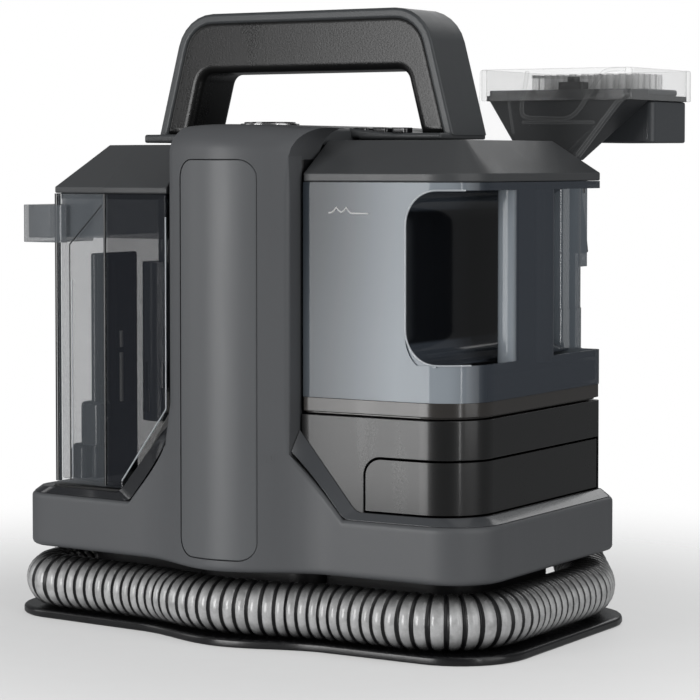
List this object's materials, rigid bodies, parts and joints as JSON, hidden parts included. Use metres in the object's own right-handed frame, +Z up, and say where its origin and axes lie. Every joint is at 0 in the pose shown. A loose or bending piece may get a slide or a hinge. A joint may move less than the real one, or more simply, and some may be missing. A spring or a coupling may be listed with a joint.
{
  "type": "carpet cleaner machine",
  "caption": "Spot carpet cleaner with side-docking clean and dirty water tanks, carrying handle, wound suction hose and parked hand tool.",
  "frame": {"origin": "on the resting plane at the middle of the base plate's width and of its straight sides", "axes": "+X towards the clean water tank, -Y is the front, +Z up"},
  "size_m": [0.318, 0.282, 0.3395],
  "materials": {
    "housing_grey": "fine matt moulded",
    "panel_grey": "fine matt moulded",
    "hood_grey": "satin moulded",
    "base_black": "fine textured",
    "inner_black": "matt moulded",
    "trim_gloss": "polished bevel",
    "trim_dark": "polished bevel",
    "tray_black": "satin gloss",
    "lid_grey": "satin moulded",
    "smoke_blue": "tinted clear plastic",
    "smoke_grey": "tinted clear plastic",
    "foot_brown": "satin",
    "handle_grey": "satin moulded",
    "grip_black": "soft touch",
    "rubber_black": "matt",
    "bright_metal": "polished",
    "zinc_steel": "zinc plated",
    "key_black": "piano gloss",
    "motor_steel": "rolled sheet",
    "fan_white": "moulded",
    "board_green": "lacquered board",
    "tube_clear": "milky tube",
    "hose_clear": "clear corrugated with dark coil",
    "tool_grey": "satin moulded",
    "tool_clear": "clear",
    "brush_grey": "satin moulded",
    "bristle_pale": "nylon",
    "wand_smoke": "tinted clear plastic",
    "float_white": "foamed"
  },
  "bodies": {
    "machine": {"base_plate": "base_black", "base_pads": "rubber_black", "base_screws": "zinc_steel", "hose_core": "inner_black", "deck_plate": "inner_black", "front_shell": "housing_grey", "column_panel": "panel_grey", "spine_frame": "inner_black", "rear_cover": "housing_grey", "top_hood": "hood_grey", "left_trim": "trim_dark", "right_trim": "trim_gloss", "tank_tray": "tray_black", "dirty_cradle": "tray_black", "handle_shell": "handle_grey", "handle_grip": "grip_black", "power_ring": "bright_metal", "suction_motor": "motor_steel", "motor_mount": "inner_black", "fan_housing": "inner_black", "pump_body": "inner_black", "water_tube": "tube_clear", "circuit_board": "board_green", "exhaust_grille": "base_black", "power_gland": "rubber_black", "hose_port": "inner_black", "hose": "hose_clear", "tool_holder": "inner_black", "duct_collar": "rubber_black"},
    "clean_water_tank": {"clean_tank_foot": "foot_brown", "clean_tank": "smoke_blue", "clean_tank_lid": "lid_grey", "clean_tank_seal": "rubber_black", "outlet_spigot": "inner_black", "valve_spring": "bright_metal"},
    "outlet_valve": {"valve_plunger": "bright_metal"},
    "dirty_water_tank": {"dirty_tank": "smoke_grey", "dirty_tank_lid": "lid_grey", "dirty_tank_grip": "smoke_grey", "dirty_tank_seal": "rubber_black", "separator_tube": "inner_black", "float_cage": "inner_black", "tank_baffle": "inner_black"},
    "shutoff_float": {"float_puck": "float_white"},
    "drawer": {"accessory_drawer": "tray_black"},
    "power_key": {"power_button": "key_black"},
    "first_mode_key": {"mode_key_1": "key_black"},
    "second_mode_key": {"mode_key_2": "key_black"},
    "third_mode_key": {"mode_key_3": "key_black"},
    "fan": {"impeller": "fan_white"},
    "hand_tool": {"hose_cuff": "inner_black", "wand_lower": "wand_smoke", "wand_upper": "wand_smoke", "trigger_pin": "zinc_steel", "spray_nozzle": "inner_black", "head_body": "tool_grey", "head_cover": "tool_clear", "brush_block": "brush_grey", "brush_bristles": "bristle_pale"},
    "tool_trigger": {"trigger": "key_black"}
  },
  "joints": [
    {"name": "clean_tank_slide", "type": "slide", "parent": "machine", "child": "clean_water_tank", "axis": [1, 0, 0], "range_m": [0, 0.11]},
    {"name": "outlet_valve_press", "type": "slide", "parent": "clean_water_tank", "child": "outlet_valve", "axis": [1, 0, 0], "range_m": [0, 0.002], "stiffness_N_per_m": 400, "springref_m": -0.002, "deforming": ["valve_spring"]},
    {"name": "dirty_tank_slide", "type": "slide", "parent": "machine", "child": "dirty_water_tank", "axis": [-1, 0, 0], "range_m": [0, 0.1]},
    {"name": "float_rise", "type": "slide", "parent": "dirty_water_tank", "child": "shutoff_float", "axis": [0, 0, 1], "range_m": [0, 0.02]},
    {"name": "drawer_slide", "type": "slide", "parent": "machine", "child": "drawer", "axis": [1, 0, 0], "range_m": [0, 0.055]},
    {"name": "power_button_press", "type": "slide", "parent": "machine", "child": "power_key", "axis": [0, 0, -1], "range_m": [0, 0.0012], "stiffness_N_per_m": 600, "springref_m": -0.001},
    {"name": "mode_key_1_press", "type": "slide", "parent": "machine", "child": "first_mode_key", "axis": [0, 0, -1], "range_m": [0, 0.0008], "stiffness_N_per_m": 500, "springref_m": -0.0008},
    {"name": "mode_key_2_press", "type": "slide", "parent": "machine", "child": "second_mode_key", "axis": [0, 0, -1], "range_m": [0, 0.0008], "stiffness_N_per_m": 500, "springref_m": -0.0008},
    {"name": "mode_key_3_press", "type": "slide", "parent": "machine", "child": "third_mode_key", "axis": [0, 0, -1], "range_m": [0, 0.0008], "stiffness_N_per_m": 500, "springref_m": -0.0008},
    {"name": "fan_spin", "type": "hinge", "parent": "machine", "child": "fan", "pos_m": [0, 0.03, 0.162], "axis": [0, 0, 1], "continuous": true},
    {"name": "tool_lift", "type": "slide", "parent": "machine", "child": "hand_tool", "axis": [0, 0, 1], "range_m": [0, 0.08]},
    {"name": "trigger_squeeze", "type": "hinge", "parent": "hand_tool", "child": "tool_trigger", "pos_m": [0.102, 0.113, 0.24], "axis": [1, 0, 0], "range_deg": [-10, 0], "stiffness_Nm_per_rad": 0.3, "springref_deg": 8.59}
  ]
}
